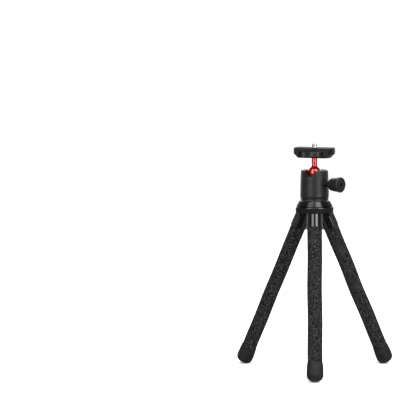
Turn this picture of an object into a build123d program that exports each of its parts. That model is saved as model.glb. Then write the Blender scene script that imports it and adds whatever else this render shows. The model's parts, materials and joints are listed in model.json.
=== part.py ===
from build123d import *
import os
from math import acos, cos, degrees, radians, sin, sqrt, tan

# A tabletop tripod: a small ball head on a round hub, and three bendable legs in foam sleeves.
# Millimetres, +Z up. The floor is at height zero, and the origin is the middle of the ground it covers.
# The front faces -Y. One leg comes forward, and the other two go back to the right and to the left.

# Clearances
turn_gap = 0.05  # round a piece that turns or slides in its seat
seat_gap = 0.02  # round a piece that is fixed in its seat
foam_gap = 0.3  # between the foam and the rod inside it
overrun = 1.0  # how far a cut runs past the face that it opens

# Directions, in degrees
front = -90
leg_names = ("front", "right", "left")
splay = 24.8  # a leg from the vertical
notch_turn = -22  # the housing's notch from the front
lock_turn = 51  # the lock knob from the front
platform_turn = -20.6  # the platform's nearer flat from the front

# Legs: places along a leg are measured from the hub's underside
leg_root_radius = 13.4  # from the hub's axis to a leg's axis, at the underside
leg_length = 199.5
foam_radius = 8.5
core_radius = 3.0
core_top_inset = 0.5  # from the collar's top end to the rod's
core_foot_inset = 3.0  # from the foam's lower end to the rod's
bend_count = 7
first_bend = 23.4
last_bend_rise = 33.9  # from a leg's lower end up to its last bend
bend_relief = 25  # degrees from a bend to the rim of the cup above it
cup_middle = 47  # degrees from a bend to the middle crease of the cup above it
dome_creases = (0, 32, 64)  # degrees from a bend to the creases of the dome below it

# Collars
collar_radius = 9.2
collar_mouth_radius = 9.5
collar_mouth_round = 0.3
collar_body = 5.0  # how far the even part runs below the underside
spigot_radius = 4.5
spigot_depth = 6.0
spigot_relief = 0.2  # left open above the spigot

# Foot caps
foot_length = 20.5
foot_floor = 8.0  # rubber below the foam's end
foot_rim_radius = 9.1
foot_radius = 9.6
foot_swell_length = 8.0
foot_swell_round = 30.0
foot_round = 7.0

# Hub base
hub_radius = 21.8
hub_rim_height = 7.0
hub_edge = 0.5
register_radius = 17.0
register_height = 2.0

# Hub bell
bell_rim_radius = 21.7
bell_top_radius = 18.0
bell_height = 6.9
bell_edge = 0.4
bell_shoulder_round = 2.4
bell_recess_height = 2.4

# Hub screws
hub_screw_count = 3
hub_screw_circle = 15.0
hub_screw_radius = 1.5
hub_screw_head_radius = 2.75
hub_screw_head_height = 2.0
hub_screw_sink = 0.4
hub_screw_grip = 3.4  # how far it reaches into the bell
hub_screw_hole_play = 0.15

# Stud and washers between hub and head
stud_radius = 3.0
stud_head_radius = 5.0
stud_head_height = 3.0
stud_pocket_play = 0.5
stud_grip = 8.0
stud_end_relief = 0.4
stud_washer_radius = 5.3
stud_washer_thickness = 0.8
pan_washer_radius = 12.5
pan_washer_thickness = 0.5
washer_hole_play = 0.2

# Head base
neck_radius = 16.0
neck_height = 2.0  # from the bell to the housing
plug_radius = 11.5
plug_height = 8.0
plug_end_relief = 0.3

# Head housing
housing_height = 32.5
housing_foot_radius = 16.2
housing_foot_height = 2.7
housing_radius = 16.75
housing_top_radius = 15.9
housing_top_round = 1.5
groove_drop = 13.0  # below the housing's top
groove_width = 0.6
groove_depth = 0.4
lip_chamfer = 0.5
notch_width = 12.0
notch_depth = 6.9

# Ball and stem
ball_radius = 8.0
ball_sink = 2.8  # from the housing's top down to the ball's centre
stem_radius = 3.35
stem_root_round = 1.6
stem_reach = 17.2  # from the ball's centre to the platform

# Pressure cup
cup_radius = 8.95
cup_top_drop = 4.7  # below the ball's centre
cup_floor_gap = 1.5  # from the plug up to the cup
cup_edge = 0.6
cup_bore_above_ball = 1.5  # below the ball's centre, where the bore ends and the ball's seat begins
cup_play = 0.45  # round the lock bolt

# Lock bolt and knob
lock_drop = 15.2  # below the housing's top
bolt_radius = 2.5
bolt_tip_radius = 0.8
bolt_tip_reach = 3.0  # past the head's axis
bolt_tip_length = 4.5
bolt_neck_radius = 3.3
bolt_neck_start = 12.8  # from the head's axis
bolt_neck_relief = 0.3
bolt_end_length = 7.2  # inside the knob
knob_start = 24.3  # from the head's axis
knob_length = 14.6
knob_inner_radius = 7.2
knob_radius = 9.0
knob_facets = 20
knob_chamfer = 1.2
knob_round = 1.2
knob_groove_radius = 6.3
knob_groove_width = 0.8
knob_groove_depth = 0.5
knob_screw_radius = 1.5
knob_screw_head_radius = 2.75
knob_screw_head_height = 3.0
knob_screw_sink = 0.4
knob_screw_grip = 6.0
knob_screw_hole_play = 0.15
socket_radius = 1.45  # to the corners of the hexagon
socket_depth = 1.8

# Platform
platform_radius = 24.0
platform_foot_radius = 19.2
platform_slope_height = 4.8  # from the foot up to the full radius
platform_width = 22.8  # from flat to flat
platform_floor = 1.8
platform_roof = 2.8
platform_bottom_chamfer = 1.2  # along the flats
platform_top_chamfer = 0.3
window_width = 29.4  # through both flats
wheel_room = 0.35  # round the wheel in its pocket
slot_height = 5.7
stem_screw_radius = 2.0
stem_screw_head_radius = 3.2
stem_screw_head_height = 1.2
stem_screw_length = 8.0
stem_screw_end_relief = 0.5
camera_hole_play = 0.3

# Lock wheel, camera screw and pad
quarter_inch_radius = 3.175
shank_radius = 2.7  # of the camera screw, below its thread
wheel_radius = 17.05
wheel_height = 5.2
wheel_teeth = 60
wheel_tooth_depth = 0.5
wheel_edge = 0.5
flange_radius = 5.0
flange_height = 1.5
camera_screw_reach = 5.0  # above the pad
camera_screw_tip = 0.7
pad_inset = 0.6
pad_thickness = 1.0
pad_hole_radius = 4.5

# Heights and places that follow
foam_bore_radius = core_radius + foam_gap
rim_setback = foam_radius * tan(radians(bend_relief))
bend_cup_radius = foam_radius / cos(radians(bend_relief))
bend_spacing = (leg_length - last_bend_rise - first_bend) / (bend_count - 1)
foam_end = leg_length - foot_floor
foot_centre = leg_length - foot_round  # the middle of the rounding on which a foot stands
hub_underside = (
    foot_centre * cos(radians(splay)) + (foot_radius - foot_round) * sin(radians(splay)) + foot_round
)
bell_base = hub_underside + hub_rim_height
bell_top = bell_base + bell_height
recess_ceiling = bell_base + bell_recess_height
stud_head_top = recess_ceiling - stud_washer_thickness - turn_gap
neck_base = bell_top + pan_washer_thickness + turn_gap
housing_base = bell_top + neck_height
housing_top = housing_base + housing_height
ball_height = housing_top - ball_sink
seat_radius = ball_radius + turn_gap
cup_height = ball_height - cup_top_drop - housing_base - plug_height - cup_floor_gap
lock_height = housing_top - lock_drop
platform_base = ball_height + stem_reach
slot_base = platform_base + platform_floor
wheel_base = slot_base + (slot_height - wheel_height) / 2
platform_top = slot_base + slot_height + platform_roof
pad_top = platform_top + pad_thickness
knob_end = knob_start + knob_length


def foot_reach(forward):
    """How far a foot comes from the hub's axis in a direction that is level and lies this near its leg's."""
    ring = sqrt(1 - (sin(radians(splay)) * forward) ** 2)
    middle = leg_root_radius + foot_centre * sin(radians(splay))
    return middle * forward + (foot_radius - foot_round) * ring + foot_round


# The front leg comes further forward than the others go back, so the hub stands behind the middle.
hub_back = (foot_reach(1) - foot_reach(cos(radians(60)))) / 2


def level(angle):
    """Unit vector at this many degrees round from +X."""
    return Vector(cos(radians(angle)), sin(radians(angle)), 0)


def sideways(angle, height):
    """Frame on the head's axis whose Z points out level at an angle, and whose X points up."""
    return Plane(origin=(0, 0, height), x_dir=(0, 0, 1), z_dir=level(angle))


def leg_angle(index):
    """Direction of a leg, counted from the front one."""
    return front + 360 * index / len(leg_names)


def leg_frame(index):
    """Frame of a leg: Z runs down it from the hub's underside, and X points away from the hub."""
    outward = level(leg_angle(index))
    up = Vector(0, 0, 1)
    along = outward * sin(radians(splay)) - up * cos(radians(splay))
    across = outward * cos(radians(splay)) + up * sin(radians(splay))
    return Plane(origin=outward * leg_root_radius + up * hub_underside, x_dir=across, z_dir=along)


def bend_place(number):
    """Where a bend lies along its leg. Bends are numbered from 1, at the hub."""
    return first_bend + (number - 1) * bend_spacing


def turned(*points):
    """Solid of revolution about Z, of an outline given as radius and height."""
    return revolve(make_face(Plane.XZ * Polyline(*points, close=True)), Axis.Z)


def rod(radius, bottom, top):
    """Cylinder about Z between two heights."""
    return Pos(0, 0, bottom) * Cylinder(radius, top - bottom, align=(Align.CENTER, Align.CENTER, Align.MIN))


def corner(face, radial, height):
    """The outline's corner nearest to a radius and a height."""
    return face.vertices().sort_by_distance((radial, 0, height))[0]


def dome_points(bend):
    """Creases of the domed upper end of a foam stretch, from its bore out to its side."""
    points = []
    for crease in reversed(dome_creases):
        radial = foam_radius * cos(radians(crease))
        points.append((radial, bend - foam_radius * sin(radians(crease))))
    return [(foam_bore_radius, points[0][1]), *points]


def cup_points(bend, bore):
    """Creases of the cup that leaves a dome room to swing, from its rim in to the bore."""
    points = []
    for crease in (bend_relief, cup_middle, degrees(acos(bore / bend_cup_radius))):
        radial = bend_cup_radius * cos(radians(crease))
        points.append((radial, bend - bend_cup_radius * sin(radians(crease))))
    return points


def make_collar():
    """Collar, cut level at the hub's underside, with a spigot above it and a cup for the foam."""
    bore = core_radius + seat_gap
    cup = cup_points(first_bend, bore)
    mouth = cup[0][1]
    outline = [
        (bore, -collar_body),
        (collar_radius, -collar_body),
        (collar_radius, collar_body),
        (collar_mouth_radius, mouth - 2 * collar_mouth_round),
        (collar_mouth_radius, mouth),
        *cup,
    ]
    face = make_face(Plane.XZ * Polyline(*outline, close=True))
    face = fillet(corner(face, collar_mouth_radius, mouth), collar_mouth_round)
    up = Vector(sin(radians(splay)), 0, -cos(radians(splay)))
    level_cut = Plane(origin=-up * seat_gap, z_dir=up)
    body = split(revolve(face, Axis.Z), bisect_by=level_cut, keep=Keep.BOTTOM)
    spigot = rod(spigot_radius, -spigot_depth, collar_body)
    return body + (spigot - rod(bore, -spigot_depth - overrun, collar_body))


def make_core():
    """Bendable metal rod that runs from the collar's spigot to the foot."""
    return rod(core_radius, core_top_inset - spigot_depth, foam_end - core_foot_inset)


def make_foam(number):
    """One stretch of the foam sleeve, from a bend down to the next, or to the foot cap from the last."""
    dome = dome_points(bend_place(number))
    if number < bend_count:
        lower_end = cup_points(bend_place(number + 1), foam_bore_radius)
    else:
        lower_end = [(foam_radius, foam_end), (foam_bore_radius, foam_end)]
    return turned(*dome, *lower_end)


def make_foot_cap():
    """Rubber cap with a blind bore for the foam, a slight swell and a round tip."""
    rim = leg_length - foot_length
    swell = rim + foot_swell_length
    outline = Polyline(
        (0, rim),
        (foot_rim_radius, rim),
        (foot_radius, swell),
        (foot_radius, leg_length),
        (0, leg_length),
        close=True,
    )
    face = make_face(Plane.XZ * outline)
    face = fillet(corner(face, foot_radius, leg_length), foot_round)
    face = fillet(corner(face, foot_radius, swell), foot_swell_round)
    cap = revolve(face, Axis.Z)
    return cap - rod(foam_radius + turn_gap, rim - overrun, foam_end + seat_gap)


def make_leg_socket():
    """Bore in the hub for a collar's spigot."""
    return rod(spigot_radius + seat_gap, -spigot_depth - spigot_relief, collar_body)


def make_hub_base():
    """Lower half of the hub: a broad rim, a register for the bell, and the sockets of the legs."""
    top = hub_rim_height
    base = turned(
        (0, 0),
        (hub_radius - hub_edge, 0),
        (hub_radius, hub_edge),
        (hub_radius, top - hub_edge),
        (hub_radius - hub_edge, top),
        (register_radius, top),
        (register_radius, top + register_height),
        (0, top + register_height),
    )
    base = Pos(0, 0, hub_underside) * base
    pocket_floor = stud_head_top - stud_head_height - stud_pocket_play
    base -= rod(stud_head_radius + stud_pocket_play, pocket_floor, recess_ceiling)
    for index in range(len(leg_names)):
        base -= leg_frame(index) * make_leg_socket()
    for place in hub_screw_places():
        base -= place * rod(hub_screw_radius + hub_screw_hole_play, 0, top + register_height + overrun)
        head_depth = hub_screw_head_height + hub_screw_sink
        base -= place * rod(hub_screw_head_radius + hub_screw_hole_play, -overrun, head_depth)
    return base


def hub_screw_places():
    """Where the hub's screws stand on its underside, between the legs."""
    step = 360 / hub_screw_count
    return [
        Pos(*(level(front + step * (index + 1 / 2)) * hub_screw_circle)) * Pos(0, 0, hub_underside)
        for index in range(hub_screw_count)
    ]


def make_hub_bell():
    """Flared cap on the hub, hollow below for the register, with the bore of the stud."""
    outline = Polyline(
        (0, 0),
        (bell_rim_radius - bell_edge, 0),
        (bell_rim_radius, bell_edge),
        (bell_top_radius, bell_height),
        (0, bell_height),
        close=True,
    )
    face = make_face(Plane.XZ * outline)
    face = fillet(corner(face, bell_top_radius, bell_height), bell_shoulder_round)
    bell = Pos(0, 0, bell_base) * revolve(face, Axis.Z)
    bell -= rod(register_radius + turn_gap, bell_base - overrun, recess_ceiling)
    bell -= rod(stud_radius + turn_gap, bell_base, bell_top + overrun)
    screw_top = recess_ceiling - hub_underside + hub_screw_grip
    for place in hub_screw_places():
        bell -= place * rod(hub_screw_radius + seat_gap, hub_rim_height, screw_top + seat_gap)
    return bell


def make_hub_screws():
    """The screws that pull the bell down on the base, as one group."""
    head_top = hub_screw_sink + hub_screw_head_height
    screw_top = recess_ceiling - hub_underside + hub_screw_grip
    screw = rod(hub_screw_head_radius, hub_screw_sink, head_top)
    screw += rod(hub_screw_radius, head_top, screw_top)
    screw -= extrude(Pos(0, 0, hub_screw_sink) * RegularPolygon(socket_radius, 6), hub_screw_head_height / 2)
    return Part() + [place * screw for place in hub_screw_places()]


def make_washer(radius, bottom, thickness):
    """Flat ring round the stud."""
    return rod(radius, bottom, bottom + thickness) - rod(
        stud_radius + washer_hole_play, bottom - overrun, bottom + thickness + overrun
    )


def make_head_stud():
    """Stud that turns with the head, with its head trapped in the hub."""
    head = rod(stud_head_radius, stud_head_top - stud_head_height, stud_head_top)
    return head + rod(stud_radius, stud_head_top, neck_base + stud_grip)


def make_head_base():
    """Neck that shows under the housing, with the plug that closes it and the stud's thread."""
    base = turned(
        (0, neck_base),
        (neck_radius, neck_base),
        (neck_radius, housing_base),
        (plug_radius, housing_base),
        (plug_radius, housing_base + plug_height),
        (0, housing_base + plug_height),
    )
    return base - rod(stud_radius + seat_gap, neck_base - overrun, neck_base + stud_grip + stud_end_relief)


def make_notch():
    """Space of the U-shaped notch that lets the stem lie level."""
    centre = housing_top - notch_depth + notch_width / 2
    shape = Circle(notch_width / 2) + Pos(notch_width / 2, 0) * Rectangle(notch_width, notch_width)
    return extrude(sideways(front + notch_turn, centre) * shape, housing_radius + overrun)


def make_head_housing():
    """Body of the ball head, bored from below, with the ball's seat, its lip and the notch."""
    outline = Polyline(
        (0, 0),
        (housing_foot_radius, 0),
        (housing_radius, housing_foot_height),
        (housing_top_radius, housing_height),
        (0, housing_height),
        close=True,
    )
    face = make_face(Plane.XZ * outline)
    face = fillet(corner(face, housing_top_radius, housing_height), housing_top_round)
    housing = Pos(0, 0, housing_base) * revolve(face, Axis.Z)
    groove_height = housing_top - groove_drop
    groove = rod(housing_radius + overrun, groove_height, groove_height + groove_width)
    taper = (housing_radius - housing_top_radius) * groove_drop / (housing_height - housing_foot_height)
    groove -= rod(housing_top_radius + taper - groove_depth, groove_height, groove_height + groove_width)
    housing -= groove
    plug_top = housing_base + plug_height + plug_end_relief
    housing -= rod(plug_radius + seat_gap, housing_base - overrun, plug_top)
    housing -= rod(cup_radius + turn_gap, housing_base, ball_height - cup_bore_above_ball)
    housing -= Pos(0, 0, ball_height) * Sphere(seat_radius)
    lip_low = sqrt(seat_radius**2 - (ball_sink - lip_chamfer) ** 2)
    lip = Cone(lip_low, lip_low + lip_chamfer, lip_chamfer, align=(Align.CENTER, Align.CENTER, Align.MAX))
    housing -= Pos(0, 0, housing_top) * lip
    housing -= make_notch()
    lock = sideways(front + lock_turn, lock_height)
    housing -= lock * rod(bolt_radius + turn_gap, 0, housing_radius + overrun)
    neck_floor = bolt_neck_start - bolt_neck_relief
    housing -= lock * rod(bolt_neck_radius + turn_gap, neck_floor, housing_radius + overrun)
    return housing


def make_pressure_cup():
    """Cup that presses up on the ball, with the cross bore that the bolt's cone works in."""
    top = ball_height - cup_top_drop
    cup = turned(
        (0, top - cup_height),
        (cup_radius - cup_edge, top - cup_height),
        (cup_radius, top - cup_height + cup_edge),
        (cup_radius, top),
        (0, top),
    )
    cup -= Pos(0, 0, ball_height) * Sphere(seat_radius)
    bore = rod(bolt_radius + cup_play, -bolt_tip_reach - cup_play, cup_radius + overrun)
    return cup - sideways(front + lock_turn, lock_height) * bore


def make_lock_bolt():
    """Bolt with a cone at its tip, a thick neck outside the housing and an end fixed in the knob."""
    end = knob_start + bolt_end_length
    bolt = turned(
        (0, -bolt_tip_reach),
        (bolt_tip_radius, -bolt_tip_reach),
        (bolt_radius, bolt_tip_length - bolt_tip_reach),
        (bolt_radius, bolt_neck_start),
        (bolt_neck_radius, bolt_neck_start),
        (bolt_neck_radius, knob_start),
        (bolt_radius, knob_start),
        (bolt_radius, end),
        (0, end),
    )
    bolt -= rod(knob_screw_radius + seat_gap, end - knob_screw_grip - seat_gap, end + overrun)
    return sideways(front + lock_turn, lock_height) * bolt


def make_lock_knob():
    """Faceted knob that widens outward, with a ring groove and a sunk screw in its end."""
    inner = RegularPolygon(knob_inner_radius, knob_facets)
    outer = Pos(0, 0, knob_length) * RegularPolygon(knob_radius, knob_facets)
    envelope = Polyline(
        (0, 0),
        (knob_inner_radius - knob_chamfer, 0),
        (knob_inner_radius, knob_chamfer),
        (knob_radius, knob_length - 2 * knob_round),
        (knob_radius, knob_length),
        (0, knob_length),
        close=True,
    )
    face = make_face(Plane.XZ * envelope)
    face = fillet(corner(face, knob_radius, knob_length), knob_round)
    knob = loft([inner, outer], ruled=True) & revolve(face, Axis.Z)
    knob -= rod(bolt_radius + seat_gap, -overrun, bolt_end_length + seat_gap)
    knob -= rod(knob_screw_radius + knob_screw_hole_play, 0, knob_length)
    head_floor = knob_length - knob_screw_head_height - knob_screw_sink
    knob -= rod(knob_screw_head_radius + knob_screw_hole_play, head_floor, knob_length + overrun)
    groove_floor = knob_length - knob_groove_depth
    groove = rod(knob_groove_radius, groove_floor, knob_length + overrun)
    groove -= rod(knob_groove_radius - knob_groove_width, groove_floor, knob_length + overrun)
    return sideways(front + lock_turn, lock_height) * Pos(0, 0, knob_start) * (knob - groove)


def make_knob_screw():
    """Socket screw that holds the knob on the bolt."""
    top = knob_end - knob_screw_sink
    throat = top - knob_screw_head_height
    screw = rod(knob_screw_head_radius, throat, top)
    screw += rod(knob_screw_radius, knob_start + bolt_end_length - knob_screw_grip, throat)
    screw -= extrude(Pos(0, 0, top - socket_depth) * RegularPolygon(socket_radius, 6), socket_depth + overrun)
    return sideways(front + lock_turn, lock_height) * screw


def make_ball_stem():
    """Ball and stem in one piece, filleted where they meet, tapped for the platform's screw."""
    root = (stem_radius, sqrt(ball_radius**2 - stem_radius**2))
    top = stem_reach - turn_gap
    ball = ThreePointArc((0, -ball_radius), (ball_radius, 0), root)
    stem = Polyline(root, (stem_radius, top), (0, top), (0, -ball_radius))
    face = make_face(Plane.XZ * (ball + stem))
    face = fillet(corner(face, *root), stem_root_round)
    tapped = top + turn_gap - stem_screw_length - stem_screw_end_relief
    piece = revolve(face, Axis.Z) - rod(stem_screw_radius + turn_gap, tapped, top + overrun)
    return Pos(0, 0, ball_height) * piece


def platform_frame(height):
    """Level frame on the head's axis whose X points out through the platform's nearer flat."""
    return Plane(origin=(0, 0, height), x_dir=level(front + platform_turn), z_dir=(0, 0, 1))


def footprint(inset):
    """The platform's outline from above, drawn in by a margin: a disc cut off at two flats."""
    width = platform_width - 2 * inset
    return Circle(platform_radius - inset) & Rectangle(width, 2 * platform_radius)


def make_platform():
    """Camera platform: a disc cut off at two flats, with sloping ends and a pocket for the wheel."""
    height = platform_top - platform_base
    disc = turned(
        (0, 0),
        (platform_foot_radius, 0),
        (platform_radius, platform_slope_height),
        (platform_radius, height - platform_top_chamfer),
        (platform_radius - platform_top_chamfer, height),
        (0, height),
    )
    block = disc & extrude(footprint(0), height)
    flat_edges = block.faces().sort_by(Axis.Z)[0].edges().filter_by(GeomType.LINE)
    block = chamfer(flat_edges, platform_bottom_chamfer)
    window = Box(
        platform_width + overrun, window_width, slot_height, align=(Align.CENTER, Align.CENTER, Align.MIN)
    )
    block -= Pos(0, 0, platform_floor) * window
    block -= rod(wheel_radius + wheel_room, platform_floor, platform_floor + slot_height)
    block -= rod(quarter_inch_radius + camera_hole_play, platform_floor, height + overrun)
    block -= rod(stem_screw_radius + seat_gap, -overrun, platform_floor)
    sink = Cone(
        stem_screw_radius + seat_gap,
        stem_screw_head_radius + seat_gap,
        stem_screw_head_height,
        align=(Align.CENTER, Align.CENTER, Align.MAX),
    )
    block -= Pos(0, 0, platform_floor) * sink
    return platform_frame(platform_base) * block


def make_stem_screw():
    """Countersunk screw from the slot's floor down into the stem."""
    throat = slot_base - stem_screw_head_height
    screw = turned(
        (0, platform_base - stem_screw_length),
        (stem_screw_radius, platform_base - stem_screw_length),
        (stem_screw_radius, throat),
        (stem_screw_head_radius, slot_base),
        (0, slot_base),
    )
    return screw - extrude(Pos(0, 0, throat) * RegularPolygon(socket_radius, 6), stem_screw_head_height)


def make_lock_wheel():
    """Toothed wheel in the platform's slot, which turns the camera screw."""
    points = []
    for step in range(2 * wheel_teeth):
        radial = wheel_radius - wheel_tooth_depth * (step % 2)
        points.append(tuple(level(180 * step / wheel_teeth) * radial)[:2])
    teeth = extrude(make_face(Polyline(*points, close=True)), wheel_height)
    blank = turned(
        (0, 0),
        (wheel_radius - wheel_edge, 0),
        (wheel_radius, wheel_edge),
        (wheel_radius, wheel_height - wheel_edge),
        (wheel_radius - wheel_edge, wheel_height),
        (0, wheel_height),
    )
    wheel = teeth & blank
    wheel -= rod(shank_radius + seat_gap, -overrun, wheel_height + overrun)
    wheel -= rod(flange_radius + seat_gap, -overrun, flange_height + seat_gap)
    return Pos(0, 0, wheel_base) * wheel


def make_camera_screw():
    """Quarter-inch screw with a thinner shank below its thread and a flange that is fixed in the wheel."""
    top = pad_top + camera_screw_reach
    return turned(
        (0, wheel_base),
        (flange_radius, wheel_base),
        (flange_radius, wheel_base + flange_height),
        (shank_radius, wheel_base + flange_height),
        (shank_radius, pad_top),
        (quarter_inch_radius, pad_top),
        (quarter_inch_radius, top - camera_screw_tip),
        (quarter_inch_radius - camera_screw_tip, top),
        (0, top),
    )


def make_platform_pad():
    """Rubber pad that the camera stands on."""
    pad = extrude(footprint(pad_inset), pad_thickness)
    pad -= rod(pad_hole_radius, -overrun, pad_thickness + overrun)
    return platform_frame(platform_top) * pad


def make_head_and_hub():
    """Every piece above the legs, by name."""
    return {
        "hub_base": make_hub_base(),
        "hub_bell": make_hub_bell(),
        "hub_screws": make_hub_screws(),
        "stud_washer": make_washer(
            stud_washer_radius, recess_ceiling - stud_washer_thickness, stud_washer_thickness
        ),
        "pan_washer": make_washer(pan_washer_radius, bell_top, pan_washer_thickness),
        "head_stud": make_head_stud(),
        "head_base": make_head_base(),
        "head_housing": make_head_housing(),
        "pressure_cup": make_pressure_cup(),
        "lock_bolt": make_lock_bolt(),
        "lock_knob": make_lock_knob(),
        "knob_screw": make_knob_screw(),
        "ball_stem": make_ball_stem(),
        "platform": make_platform(),
        "stem_screw": make_stem_screw(),
        "lock_wheel": make_lock_wheel(),
        "camera_screw": make_camera_screw(),
        "platform_pad": make_platform_pad(),
    }


def make_legs():
    """Every piece of the three legs, by name."""
    pieces = {}
    for index, name in enumerate(leg_names):
        frame = leg_frame(index)
        pieces[f"{name}_collar"] = frame * make_collar()
        pieces[f"{name}_core"] = frame * make_core()
        for number in range(1, bend_count + 1):
            pieces[f"{name}_foam_{number}"] = frame * make_foam(number)
        pieces[f"{name}_foot_cap"] = frame * make_foot_cap()
    return pieces


def main():
    os.makedirs("parts", exist_ok=True)
    for name, piece in {**make_head_and_hub(), **make_legs()}.items():
        export_step(Pos(0, hub_back, 0) * piece, f"parts/{name}.step")


if __name__ == "__main__":
    main()
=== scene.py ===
import json
from math import cos, pi, radians, sin

import bpy
from mathutils import Matrix, Vector


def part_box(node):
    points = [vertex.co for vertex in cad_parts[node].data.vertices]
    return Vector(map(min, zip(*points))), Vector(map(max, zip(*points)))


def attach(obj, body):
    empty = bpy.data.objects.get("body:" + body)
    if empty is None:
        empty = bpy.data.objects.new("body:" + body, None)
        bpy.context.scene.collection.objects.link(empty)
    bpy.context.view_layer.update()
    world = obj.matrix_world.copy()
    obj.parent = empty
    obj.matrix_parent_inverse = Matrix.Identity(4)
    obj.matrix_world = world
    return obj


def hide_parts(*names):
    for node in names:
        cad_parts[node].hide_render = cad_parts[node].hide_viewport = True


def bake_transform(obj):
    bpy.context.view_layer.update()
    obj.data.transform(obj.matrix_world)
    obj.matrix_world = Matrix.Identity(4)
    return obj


# The tabletop tripod's looks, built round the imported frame. Metres, +Z up, the front faces -Y.
MM = 0.001
SHARP_EDGE = radians(40)  # edges steeper than this stay crisp

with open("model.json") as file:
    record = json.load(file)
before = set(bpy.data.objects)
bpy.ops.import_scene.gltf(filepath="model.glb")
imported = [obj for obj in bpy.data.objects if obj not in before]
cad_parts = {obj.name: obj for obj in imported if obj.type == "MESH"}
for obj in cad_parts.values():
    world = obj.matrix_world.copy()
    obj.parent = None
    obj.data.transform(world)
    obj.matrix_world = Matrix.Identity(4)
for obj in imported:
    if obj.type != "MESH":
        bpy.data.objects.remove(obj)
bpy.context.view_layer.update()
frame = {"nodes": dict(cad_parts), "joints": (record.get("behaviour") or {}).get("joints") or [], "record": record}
nodes = frame["nodes"]
joints = {joint["name"]: joint for joint in frame["joints"]}

# Legs. A place on a leg is measured along it, from the hub's underside.
LEGS = ("front", "right", "left")
BENDS = 7
FIRST_BEND = 23.4 * MM
COLLAR_MOUTH = 19.44 * MM
CAP_RIM = 179.0 * MM
FOAM_RADIUS = 8.5 * MM
FOAM_TUCK = 1.0 * MM  # how far the foam goes up into the collar's mouth
FOAM_TUCK_NARROWING = 0.9 * MM
FOAM_END = 191.4 * MM  # inside the foot cap
FOAM_SIDES = 72
ROD_RADIUS = 3.0 * MM
ROD_START = -5.5 * MM
ROD_END = 188.5 * MM
ROD_SIDES = 24
RING_STEP = 1.5 * MM
WAVE = 0.3 * MM  # how far a leg strays from straight, as foam on a bent and straightened rod does
WAVE_LENGTH = 71 * MM
WAVE_LEAD = 2.1  # radians that each leg's wave is ahead of the last one's
SIDE_WAVE_PACE = 0.8  # the sideways wave's frequency, as a share of the outward one's

# Hub: two narrow bands of finish where the bell stands on the ring, both painted light: a polished band at the
# ring's top, more reflective than the rubber, gives a painted highlight in place of a rounded glossy edge, and a
# near-black band at the bell's foot is painted shade of a groove
BELL_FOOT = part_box("hub_bell")[0].z
HIGHLIGHT_BEAD = 1.3 * MM  # height of the polished band at the ring's top, made more reflective for a painted highlight
HIGHLIGHT_BEAD_EDGE = 0.13 * MM
HIGHLIGHT_BEAD_REFLECTANCE = 0.056
PAINTED_SHADE_LIP = 0.8 * MM  # height of the painted shade band at the bell's foot, near black for a groove's shade
PAINTED_SHADE_LIP_EDGE = 0.1 * MM
PAINTED_SHADE_LIP_REFLECTANCE = 0.0024

# Camera screw
SCREW_RADIUS = 3.175 * MM
SCREW_TIP = 0.7 * MM  # chamfer at the end
SHANK_RADIUS = 2.7 * MM
FLANGE_RADIUS = 5.0 * MM
FLANGE_HEIGHT = 1.5 * MM
THREAD_PITCH = 1.27 * MM
THREAD_DEPTH = 0.62 * MM
THREAD_FLATTENING = 1.25  # over one, so that the crests are flat
THREAD_ROWS = 14  # in one pitch
THREAD_SIDES = 64

# Materials
COAT_ROUGHNESS = 0.06
NOISE_LOW, NOISE_HIGH = 0.3, 0.7  # nearly all of a noise texture lies between these
COOL = -0.01  # how far a cool grey's red is below its green
METAL_RINGS = 0.1  # scale of turned grain across the axis, against one along it
BALL_RINGS = 0.15

# Studio: softboxes as name, azimuth to the right of the front, width and watts
FLOOR_REACH = 400.0
FLOOR_CLOUD = 0.4
AIM = (0, 0, 0.16)
SOFTBOX_ELEVATION = 26
SOFTBOX_DISTANCE = 1.3
SOFTBOX_HEIGHT = 1.9
SOFTBOXES = (
    ("left_softbox", -35, 0.66, 18),
    ("right_softbox", 38, 0.66, 26),
    ("back_left_softbox", -160, 0.55, 9),
    ("back_right_softbox", 160, 0.55, 9),
)
SUN_STRENGTH = 3.15
SUN_SPREAD = 50
SUN_PLACE = (0.3, -0.4, 2)

# The surround's strength, as stops of (direction, strength). It is dark in front of the tripod and pale
# behind it, with a white band at the horizon. The light from straight below is the floor's, in reflections.
SURROUND_BY_Y = ((-1, 0.04), (-0.3, 0.06), (0, 0.14), (0.5, 0.4), (0.9, 0.9))
SURROUND_BY_Z = ((-0.75, 0.6), (-0.5, 0), (-0.05, 0), (-0.03, 1), (0.05, 1), (0.08, 0))

# Camera: the photograph's view
SENSOR = 36.0
PIXELS = 400
FOCAL_PIXELS = 2800
CAMERA_PLACE = (-9.44 * MM, -3184.46 * MM, 505.64 * MM)
CAMERA_YAW = -2.1846
CAMERA_PITCH = 5.495
CAMERA_ROLL = -0.3084


def new_object(name, vertices, faces, material, smooth=True):
    """Mesh object in the row frame with one material."""
    mesh = bpy.data.meshes.new(name)
    mesh.from_pydata(vertices, [], faces)
    mesh.validate()
    mesh.polygons.foreach_set("use_smooth", [smooth] * len(mesh.polygons))
    mesh.materials.append(material)
    piece = bpy.data.objects.new(name, mesh)
    bpy.context.scene.collection.objects.link(piece)
    return piece


def round_object(name, vertices, sides, material):
    """Closed object from rings of vertices, each ring with this many sides, and a face over either end."""
    faces = []
    last = len(vertices) - sides
    for low in range(0, last, sides):
        high = low + sides
        for side in range(sides):
            after = (side + 1) % sides
            faces.append((low + side, low + after, high + after, high + side))
    faces.append(tuple(reversed(range(sides))))
    faces.append(tuple(range(last, last + sides)))
    piece = new_object(name, vertices, faces, material)
    piece.data.set_sharp_from_angle(angle=SHARP_EDGE)
    return piece


def lathe(name, rings, sides, place, material):
    """Closed surface through rings of (radius, height), about the Z axis of a 4x4 matrix."""
    vertices = []
    for radius, height in rings:
        for side in range(sides):
            angle = 2 * pi * side / sides
            vertices.append(place @ Vector((radius * cos(angle), radius * sin(angle), height)))
    return round_object(name, vertices, sides, material)


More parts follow.
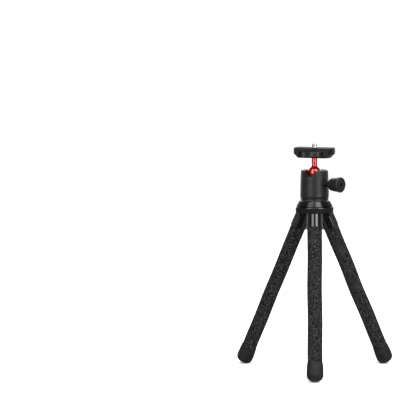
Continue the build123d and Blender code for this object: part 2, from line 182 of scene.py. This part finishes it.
class Leg:
    """A leg's axis, read from its bends."""

    def __init__(self, name, index):
        self.name = name
        first = Vector(joints[f"{name}_bend_1"]["pos_m"])
        last = Vector(joints[f"{name}_bend_{BENDS}"]["pos_m"])
        self.along = (last - first).normalized()
        self.spacing = (last - first).length / (BENDS - 1)
        self.root = first - self.along * FIRST_BEND
        out = Vector((self.along.x, self.along.y, 0)).normalized()
        self.across = (out - self.along * out.dot(self.along)).normalized()
        self.side = self.along.cross(self.across)
        self.phase = WAVE_LEAD * index

    def point(self, place):
        return self.root + self.along * place

    def matrix(self):
        """Frame at the root whose Z runs down the leg."""
        turn = Matrix((self.across, self.side, self.along)).transposed().to_4x4()
        return Matrix.Translation(self.root) @ turn

    def stray(self, place):
        """How far the leg's middle strays from the axis, both ways across; nothing at the ends."""
        share = (place - COLLAR_MOUTH) / (CAP_RIM - COLLAR_MOUTH)
        if not 0 < share < 1:
            return Vector((0, 0, 0))
        swell = WAVE * sin(pi * share)
        angle = 2 * pi * place / WAVE_LENGTH + self.phase
        return self.across * (swell * sin(angle)) + self.side * (swell * cos(SIDE_WAVE_PACE * angle))

    def bend(self, number):
        return FIRST_BEND + (number - 1) * self.spacing

    def stretch(self, number, top, foot):
        """Start and end of a bend's stretch, halfway to its neighbours, or at the leg's top or foot."""
        half = self.spacing / 2
        start = top if number == 1 else self.bend(number) - half
        end = foot if number == BENDS else self.bend(number) + half
        return start, end

    def body(self, number):
        return f"{self.name}_leg_{number}" if number else "hub"


def steps(start, end):
    """Evenly spaced places from start to end, about RING_STEP apart."""
    count = round((end - start) / RING_STEP)
    return [start + (end - start) * step / count for step in range(count + 1)]


def across_bend(leg, number, kind, rings, sides, material, node):
    """Piece of a leg over one bend's stretch, lathed down the leg and given its wave, in place of the CAD node
    where one is given.
    """
    piece = lathe(f"{leg.name}_{kind}_{number}", rings, sides, leg.matrix(), material)
    for vertex in piece.data.vertices:
        place = (vertex.co - leg.root).dot(leg.along)
        vertex.co += leg.stray(place)
    start, end = leg.stretch(number, COLLAR_MOUTH, leg.bend(BENDS) + leg.spacing / 2)
    leg.body(number - 1)
    leg.body(number)
    leg.point(start)
    leg.point(end)
    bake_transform(piece)
    if node:
        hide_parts(node)
    return piece


def make_foam(leg, number, material):
    """The foam sleeve from halfway above a bend to halfway below it."""
    start, end = leg.stretch(number, COLLAR_MOUTH, CAP_RIM)
    rings = [(FOAM_RADIUS, place) for place in steps(start, end)]
    if number == 1:
        rings.insert(0, (FOAM_RADIUS - FOAM_TUCK_NARROWING, COLLAR_MOUTH - FOAM_TUCK))
    if number == BENDS:
        rings.append((FOAM_RADIUS, FOAM_END))
    node = f"{leg.name}_foam_{number}"
    piece = across_bend(leg, number, "sleeve", rings, FOAM_SIDES, material, node)


def make_rod(leg, number, material):
    """The bendable rod inside the sleeve, over the same stretch. The first piece stands for the whole rod."""
    start, end = leg.stretch(number, ROD_START, ROD_END)
    rings = [(ROD_RADIUS, place) for place in steps(start, end)]
    node = f"{leg.name}_core" if number == 1 else None
    piece = across_bend(leg, number, "rod", rings, ROD_SIDES, material, node)


def thread_radius(rise, share, left):
    """The camera screw's radius at a rise up its thread, a share of the way round, with this much left."""
    turn = (rise / THREAD_PITCH - share) % 1
    crest = min(1, THREAD_FLATTENING * (1 - abs(2 * turn - 1)))
    chamfer = SCREW_RADIUS - SCREW_TIP + left
    return min(chamfer, SCREW_RADIUS - THREAD_DEPTH * (1 - crest))


def make_camera_screw(material):
    """The camera screw with a real thread, in the place of the plain one."""
    low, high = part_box("camera_screw")
    middle = (low + high) / 2
    flange_top = low.z + FLANGE_HEIGHT
    thread_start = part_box("platform_pad")[1].z
    thread_length = high.z - thread_start
    plain = (
        (low.z, FLANGE_RADIUS),
        (flange_top, FLANGE_RADIUS),
        (flange_top, SHANK_RADIUS),
        (thread_start, SHANK_RADIUS),
        (thread_start, SCREW_RADIUS - THREAD_DEPTH),
    )
    rings = [(height, [radius] * THREAD_SIDES) for height, radius in plain]
    count = round(thread_length / THREAD_PITCH * THREAD_ROWS)
    for row in range(1, count + 1):
        rise = thread_length * row / count
        left = thread_length - rise
        radii = [thread_radius(rise, side / THREAD_SIDES, left) for side in range(THREAD_SIDES)]
        rings.append((thread_start + rise, radii))
    vertices = []
    for height, radii in rings:
        for side, radius in enumerate(radii):
            angle = 2 * pi * side / THREAD_SIDES
            vertices.append((middle.x + radius * cos(angle), middle.y + radius * sin(angle), height))
    piece = round_object("threaded_screw", vertices, THREAD_SIDES, material)
    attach(piece, "wheel")
    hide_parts("camera_screw")


def grey(level, warmth=0.0):
    """A grey in linear light, a little warm or cool."""
    return (level * (1 + warmth), level, level * (1 - warmth))


class Surface:
    """A node material under construction: one shader, and the textures that feed it."""

    def __init__(self, name, roughness, metallic=0.0, coat=0.0, specular=0.5):
        self.material = bpy.data.materials.new(name)
        self.material.use_nodes = True
        self.tree = self.material.node_tree
        self.tree.nodes.clear()
        output = self.tree.nodes.new("ShaderNodeOutputMaterial")
        self.shader = self.tree.nodes.new("ShaderNodeBsdfPrincipled")
        self.link(self.shader.outputs["BSDF"], output.inputs["Surface"])
        self.shader.inputs["Roughness"].default_value = roughness
        self.shader.inputs["Metallic"].default_value = metallic
        self.shader.inputs["Coat Weight"].default_value = coat
        self.shader.inputs["Coat Roughness"].default_value = COAT_ROUGHNESS
        self.shader.inputs["Specular IOR Level"].default_value = specular
        self.place = self.tree.nodes.new("ShaderNodeTexCoord").outputs["Object"]
        self.normal = None

    def link(self, source, target):
        self.tree.links.new(source, target)

    def turned(self, size, across):
        """Noise drawn out across the Z axis, like the rings that turning leaves."""
        mapping = self.tree.nodes.new("ShaderNodeMapping")
        mapping.inputs["Scale"].default_value = (across, across, 1.0)
        self.link(self.place, mapping.inputs["Vector"])
        return self.noise(size, detail=2, place=mapping.outputs["Vector"])

    def noise(self, size, detail, rough=0.5, place=None):
        """Noise whose features are about this many metres across."""
        node = self.tree.nodes.new("ShaderNodeTexNoise")
        node.inputs["Scale"].default_value = 1 / size
        node.inputs["Detail"].default_value = detail
        node.inputs["Roughness"].default_value = rough
        self.link(place or self.place, node.inputs["Vector"])
        return node.outputs["Fac"]

    def cells(self, size):
        """Rounded cells about this many metres across, nought at their middles."""
        node = self.tree.nodes.new("ShaderNodeTexVoronoi")
        node.feature = "SMOOTH_F1"
        node.inputs["Scale"].default_value = 1 / size
        self.link(self.place, node.inputs["Vector"])
        return node.outputs["Distance"]

    def above(self, low, high):
        """Nought below one height and one above another."""
        axes = self.tree.nodes.new("ShaderNodeSeparateXYZ")
        self.link(self.place, axes.inputs["Vector"])
        return self.spread(axes.outputs["Z"], low, high, 0, 1)

    def inverse(self, share):
        return self.spread(share, 0, 1, 1, 0)

    def times(self, one, other):
        """Two values multiplied."""
        node = self.tree.nodes.new("ShaderNodeMath")
        node.operation = "MULTIPLY"
        self.link(one, node.inputs[0])
        self.link(other, node.inputs[1])
        return node.outputs["Value"]

    def spread(self, value, low, high, out_low, out_high):
        """Maps a value's range onto another."""
        node = self.tree.nodes.new("ShaderNodeMapRange")
        node.inputs["From Min"].default_value = low
        node.inputs["From Max"].default_value = high
        node.inputs["To Min"].default_value = out_low
        node.inputs["To Max"].default_value = out_high
        self.link(value, node.inputs["Value"])
        return node.outputs["Result"]

    def colour(self, value, dark, light, low=0.35, high=0.65):
        """Runs the base colour from dark to light as the value goes from low to high."""
        ramp = self.tree.nodes.new("ShaderNodeValToRGB")
        ramp.color_ramp.elements[0].position = low
        ramp.color_ramp.elements[0].color = (*dark, 1)
        ramp.color_ramp.elements[1].position = high
        ramp.color_ramp.elements[1].color = (*light, 1)
        self.link(value, ramp.inputs["Fac"])
        self.link(ramp.outputs["Color"], self.shader.inputs["Base Color"])

    def metal_where(self, share, reflectance):
        """Makes a share of the surface metal of this reflectance. A varying specular level would set it too,
        but the export doesn't keep one."""
        mix = self.tree.nodes.new("ShaderNodeMixRGB")
        base = self.shader.inputs["Base Color"]
        self.link(share, mix.inputs["Fac"])
        self.link(base.links[0].from_socket, mix.inputs["Color1"])
        mix.inputs["Color2"].default_value = (*grey(reflectance), 1)
        self.link(mix.outputs["Color"], base)
        self.link(share, self.shader.inputs["Metallic"])

    def rough(self, value, low, high, value_low=NOISE_LOW, value_high=NOISE_HIGH):
        """Runs the roughness between two values."""
        self.link(self.spread(value, value_low, value_high, low, high), self.shader.inputs["Roughness"])

    def bump(self, value, depth, strength):
        """Raises the surface with the value, by a depth in metres, on top of earlier bumps."""
        node = self.tree.nodes.new("ShaderNodeBump")
        node.inputs["Distance"].default_value = depth
        node.inputs["Strength"].default_value = strength
        self.link(value, node.inputs["Height"])
        if self.normal is not None:
            self.link(self.normal, node.inputs["Normal"])
        self.normal = node.outputs["Normal"]
        self.link(self.normal, self.shader.inputs["Normal"])


def foam_surface():
    """Closed-cell foam with a coarse, speckled skin."""
    surface = Surface("foam", 0.85, specular=0.05)
    pebbles = surface.cells(1.3 * MM)
    cloud = surface.noise(9 * MM, detail=3)
    grain = surface.noise(1.35 * MM, detail=3, rough=0.75)
    surface.colour(grain, grey(0.002, COOL), grey(0.060, COOL), low=0.49, high=0.66)
    surface.bump(cloud, depth=0.12 * MM, strength=0.5)
    surface.bump(pebbles, depth=0.5 * MM, strength=1.0)
    surface.bump(grain, depth=0.4 * MM, strength=0.9)
    surface.rough(grain, 0.8, 0.96)
    return surface.material


def foot_surface():
    """Moulded rubber, nearly smooth."""
    surface = Surface("foot_rubber", 0.55, specular=0.14)
    cloud = surface.noise(6 * MM, detail=3)
    grain = surface.noise(0.25 * MM, detail=2)
    surface.colour(cloud, grey(0.006), grey(0.010))
    surface.rough(cloud, 0.52, 0.7)
    surface.bump(grain, depth=0.03 * MM, strength=0.6)
    return surface.material


def hub_surface():
    """Pebbled rubber of the hub's ring, with a polished band at its top that is more reflective than the rubber: a
    painted highlight in place of the glint of a rounded glossy edge that the mesh lacks.
    """
    surface = Surface("hub_rubber", 0.6, specular=0.10)
    pebbles = surface.cells(0.7 * MM)
    cloud = surface.noise(4 * MM, detail=2)
    surface.colour(cloud, grey(0.003), grey(0.006))
    # Painted highlight: a narrow polished band at the ring's top, more reflective and smoother than the rubber
    highlight_bead = surface.above(BELL_FOOT - HIGHLIGHT_BEAD, BELL_FOOT - HIGHLIGHT_BEAD + HIGHLIGHT_BEAD_EDGE)
    surface.metal_where(highlight_bead, HIGHLIGHT_BEAD_REFLECTANCE)
    surface.rough(highlight_bead, 0.65, 0.14, value_low=0, value_high=1)
    surface.bump(surface.times(pebbles, surface.inverse(highlight_bead)), depth=0.16 * MM, strength=0.9)
    return surface.material


def gloss_surface(name, roughness, specular, painted_shade_below=None):
    """Glossy moulded plastic, with painted shade below a height where one is given: a near-black band for the
    shade of a groove.
    """
    surface = Surface(name, roughness, specular=specular)
    cloud = surface.noise(14 * MM, detail=3)
    skin = surface.noise(1.6 * MM, detail=1)
    specks = surface.noise(0.35 * MM, detail=3, rough=0.7)
    surface.colour(specks, grey(0.003), grey(0.006), low=0.45, high=0.75)
    if painted_shade_below:
        # Painted shade: a near-black band below the given height, for the shade of a groove at the bell's foot
        shine = surface.above(painted_shade_below - PAINTED_SHADE_LIP_EDGE, painted_shade_below)
        surface.metal_where(surface.inverse(shine), PAINTED_SHADE_LIP_REFLECTANCE)
    surface.rough(cloud, roughness - 0.04, roughness + 0.05)
    surface.bump(skin, depth=0.012 * MM, strength=0.5)
    return surface.material


def anodised_surface(name, level, roughness, specular):
    """Bead-blasted and anodised aluminium."""
    surface = Surface(name, roughness, specular=specular)
    cloud = surface.noise(11 * MM, detail=3)
    blast = surface.noise(0.16 * MM, detail=3, rough=0.6)
    dark, light = grey(level * 0.8, COOL), grey(level * 1.25, COOL)
    surface.colour(blast, dark, light, low=NOISE_LOW, high=NOISE_HIGH)
    surface.rough(cloud, roughness - 0.05, roughness + 0.06)
    surface.bump(blast, depth=0.02 * MM, strength=0.55)
    return surface.material


def knob_surface():
    """Moulded plastic with a soft sheen."""
    surface = Surface("knob_black", 0.3, specular=0.3)
    cloud = surface.noise(7 * MM, detail=3)
    grain = surface.noise(0.3 * MM, detail=3)
    surface.colour(cloud, grey(0.004), grey(0.008))
    surface.rough(cloud, 0.26, 0.38)
    surface.bump(grain, depth=0.02 * MM, strength=0.6)
    return surface.material


def red_surface():
    """Turned, polished and red anodised aluminium."""
    surface = Surface("ball_red", 0.18, metallic=0.8, coat=0.8)
    cloud = surface.noise(5 * MM, detail=3)
    rings = surface.turned(0.25 * MM, BALL_RINGS)
    surface.colour(cloud, (0.44, 0.018, 0.017), (0.56, 0.026, 0.024))
    surface.rough(cloud, 0.13, 0.21)
    surface.bump(rings, depth=0.002 * MM, strength=0.4)
    return surface.material


def metal_surface(name, dark, light, roughness):
    """Turned metal with fine rings from the tool."""
    surface = Surface(name, roughness, metallic=1.0)
    rings = surface.turned(0.3 * MM, METAL_RINGS)
    surface.colour(rings, dark, light)
    surface.rough(rings, roughness - 0.06, roughness + 0.08)
    surface.bump(rings, depth=0.01 * MM, strength=0.5)
    return surface.material


def nylon_surface():
    surface = Surface("nylon", 0.5)
    cloud = surface.noise(3 * MM, detail=2)
    surface.colour(cloud, (0.62, 0.61, 0.57), (0.72, 0.71, 0.68))
    surface.rough(cloud, 0.42, 0.58)
    surface.bump(cloud, depth=0.01 * MM, strength=0.5)
    return surface.material


def floor_surface():
    surface = Surface("floor", 0.9, specular=0.1)
    cloud = surface.noise(FLOOR_CLOUD, detail=2)
    surface.colour(cloud, grey(0.86), grey(0.88))
    return surface.material


def make_surfaces():
    """The finishes by slot, and the two for the collars and the wheel."""
    return {
        # The bell's finish has painted shade at its foot, a near-black band for a groove's shade
        "gloss_black": gloss_surface("gloss_black", 0.16, 0.27, painted_shade_below=BELL_FOOT + PAINTED_SHADE_LIP),
        "collar_black": gloss_surface("collar_black", 0.07, 0.6),
        "wheel_black": anodised_surface("wheel_black", 0.006, 0.26, 0.3),
        # The hub's rubber has a painted highlight at the ring's top
        "matt_rubber": hub_surface(),
        "foam": foam_surface(),
        "foot_rubber": foot_surface(),
        "head_black": anodised_surface("head_black", 0.003, 0.45, 0.36),
        "ball_red": red_surface(),
        "knob_black": knob_surface(),
        "platform_black": anodised_surface("platform_black", 0.003, 0.46, 0.16),
        "steel": metal_surface("steel", (0.42, 0.42, 0.43), (0.6, 0.6, 0.61), 0.28),
        "dark_steel": metal_surface("dark_steel", grey(0.03), grey(0.06), 0.36),
        "brass_cup": metal_surface("brass_cup", (0.5, 0.34, 0.12), (0.66, 0.47, 0.2), 0.3),
        "nylon": nylon_surface(),
        "wire": metal_surface("wire", (0.5, 0.5, 0.51), (0.66, 0.66, 0.67), 0.4),
    }


def finish(name, slot):
    """A node's finish is its slot's, but the collars and the wheel shine more than the rest of theirs."""
    if name.endswith("_collar"):
        return "collar_black"
    return "wheel_black" if name == "lock_wheel" else slot


def dress_nodes(surfaces):
    """Gives each CAD node the finish of its kind."""
    slots = {part["node"]: part["material_slot"] for part in frame["record"]["subparts"]}
    for name, node in nodes.items():
        node.data.materials.clear()
        node.data.materials.append(surfaces[finish(name, slots[name])])


def aimed(name, place, target, light):
    """Lamp at a place, shining at a target."""
    lamp = bpy.data.objects.new(name, light)
    bpy.context.scene.collection.objects.link(lamp)
    lamp.location = place
    lamp.rotation_mode = "QUATERNION"
    lamp.rotation_quaternion = (Vector(target) - Vector(place)).to_track_quat("-Z", "Y")
    return lamp


def make_softbox(name, azimuth, width, watts):
    """Tall soft light round the tripod, out of the camera's sight."""
    around, up = radians(azimuth), radians(SOFTBOX_ELEVATION)
    away = Vector((sin(around) * cos(up), -cos(around) * cos(up), sin(up)))
    light = bpy.data.lights.new(name, "AREA")
    light.shape = "RECTANGLE"
    light.size = width
    light.size_y = SOFTBOX_HEIGHT
    light.energy = watts
    lamp = aimed(name, Vector(AIM) + away * SOFTBOX_DISTANCE, AIM, light)
    lamp.visible_camera = False


def levels(tree, value, stops):
    """Runs a strength through (value, strength) stops, for a value from -1 to 1."""
    place = tree.nodes.new("ShaderNodeMapRange")
    place.inputs["From Min"].default_value = -1
    tree.links.new(value, place.inputs["Value"])
    ramp = tree.nodes.new("ShaderNodeValToRGB")
    elements = ramp.color_ramp.elements
    while len(elements) < len(stops):
        elements.new(1)
    for element, (at, strength) in zip(elements, stops):
        element.position = (at + 1) / 2
        element.color = (strength, strength, strength, 1)
    tree.links.new(place.outputs["Result"], ramp.inputs["Fac"])
    return ramp.outputs["Color"]


def make_surround():
    """The world's light, the brighter of two runs of strength in each direction."""
    world = bpy.data.worlds.new("surround")
    bpy.context.scene.world = world
    world.use_nodes = True
    tree = world.node_tree
    background = tree.nodes["Background"]
    direction = tree.nodes.new("ShaderNodeTexCoord")
    axes = tree.nodes.new("ShaderNodeSeparateXYZ")
    tree.links.new(direction.outputs["Generated"], axes.inputs["Vector"])
    brighter = tree.nodes.new("ShaderNodeMath")
    brighter.operation = "MAXIMUM"
    tree.links.new(levels(tree, axes.outputs["Y"], SURROUND_BY_Y), brighter.inputs[0])
    tree.links.new(levels(tree, axes.outputs["Z"], SURROUND_BY_Z), brighter.inputs[1])
    tree.links.new(brighter.outputs["Value"], background.inputs["Strength"])
    background.inputs["Color"].default_value = (1, 1, 1, 1)


def make_studio():
    """Pale floor, softboxes before and behind the tripod, a broad soft sun and the surround."""
    reach = FLOOR_REACH
    corners = [(-reach, -reach, 0), (reach, -reach, 0), (reach, reach, 0), (-reach, reach, 0)]
    floor = new_object("floor", corners, [(0, 1, 2, 3)], floor_surface(), smooth=False)
    floor.visible_glossy = False
    for softbox in SOFTBOXES:
        make_softbox(*softbox)
    sun = bpy.data.lights.new("sun", "SUN")
    sun.energy = SUN_STRENGTH
    sun.angle = radians(SUN_SPREAD)
    aimed("sun", SUN_PLACE, (0, 0, 0), sun)
    make_surround()


def make_camera():
    """Camera at the photograph's viewing angle."""
    data = bpy.data.cameras.new("camera")
    data.sensor_width = SENSOR
    data.lens = FOCAL_PIXELS / PIXELS * SENSOR
    camera = bpy.data.objects.new("camera", data)
    bpy.context.scene.collection.objects.link(camera)
    yaw, pitch, roll = radians(CAMERA_YAW), radians(CAMERA_PITCH), radians(CAMERA_ROLL)
    forward = Vector((sin(yaw) * cos(pitch), cos(yaw) * cos(pitch), -sin(pitch)))
    level_right = forward.cross(Vector((0, 0, 1))).normalized()
    level_up = level_right.cross(forward)
    right = level_right * cos(roll) + level_up * sin(roll)
    up = level_up * cos(roll) - level_right * sin(roll)
    turn = Matrix((right, up, -forward)).transposed().to_4x4()
    camera.matrix_world = Matrix.Translation(CAMERA_PLACE) @ turn
    bpy.context.scene.camera = camera


surfaces = make_surfaces()
dress_nodes(surfaces)
for index, leg_name in enumerate(LEGS):
    leg = Leg(leg_name, index)
    for number in range(1, BENDS + 1):
        make_foam(leg, number, surfaces["foam"])
        make_rod(leg, number, surfaces["wire"])
make_camera_screw(surfaces["steel"])
make_studio()
make_camera()
bpy.context.scene.view_settings.view_transform = "Standard"
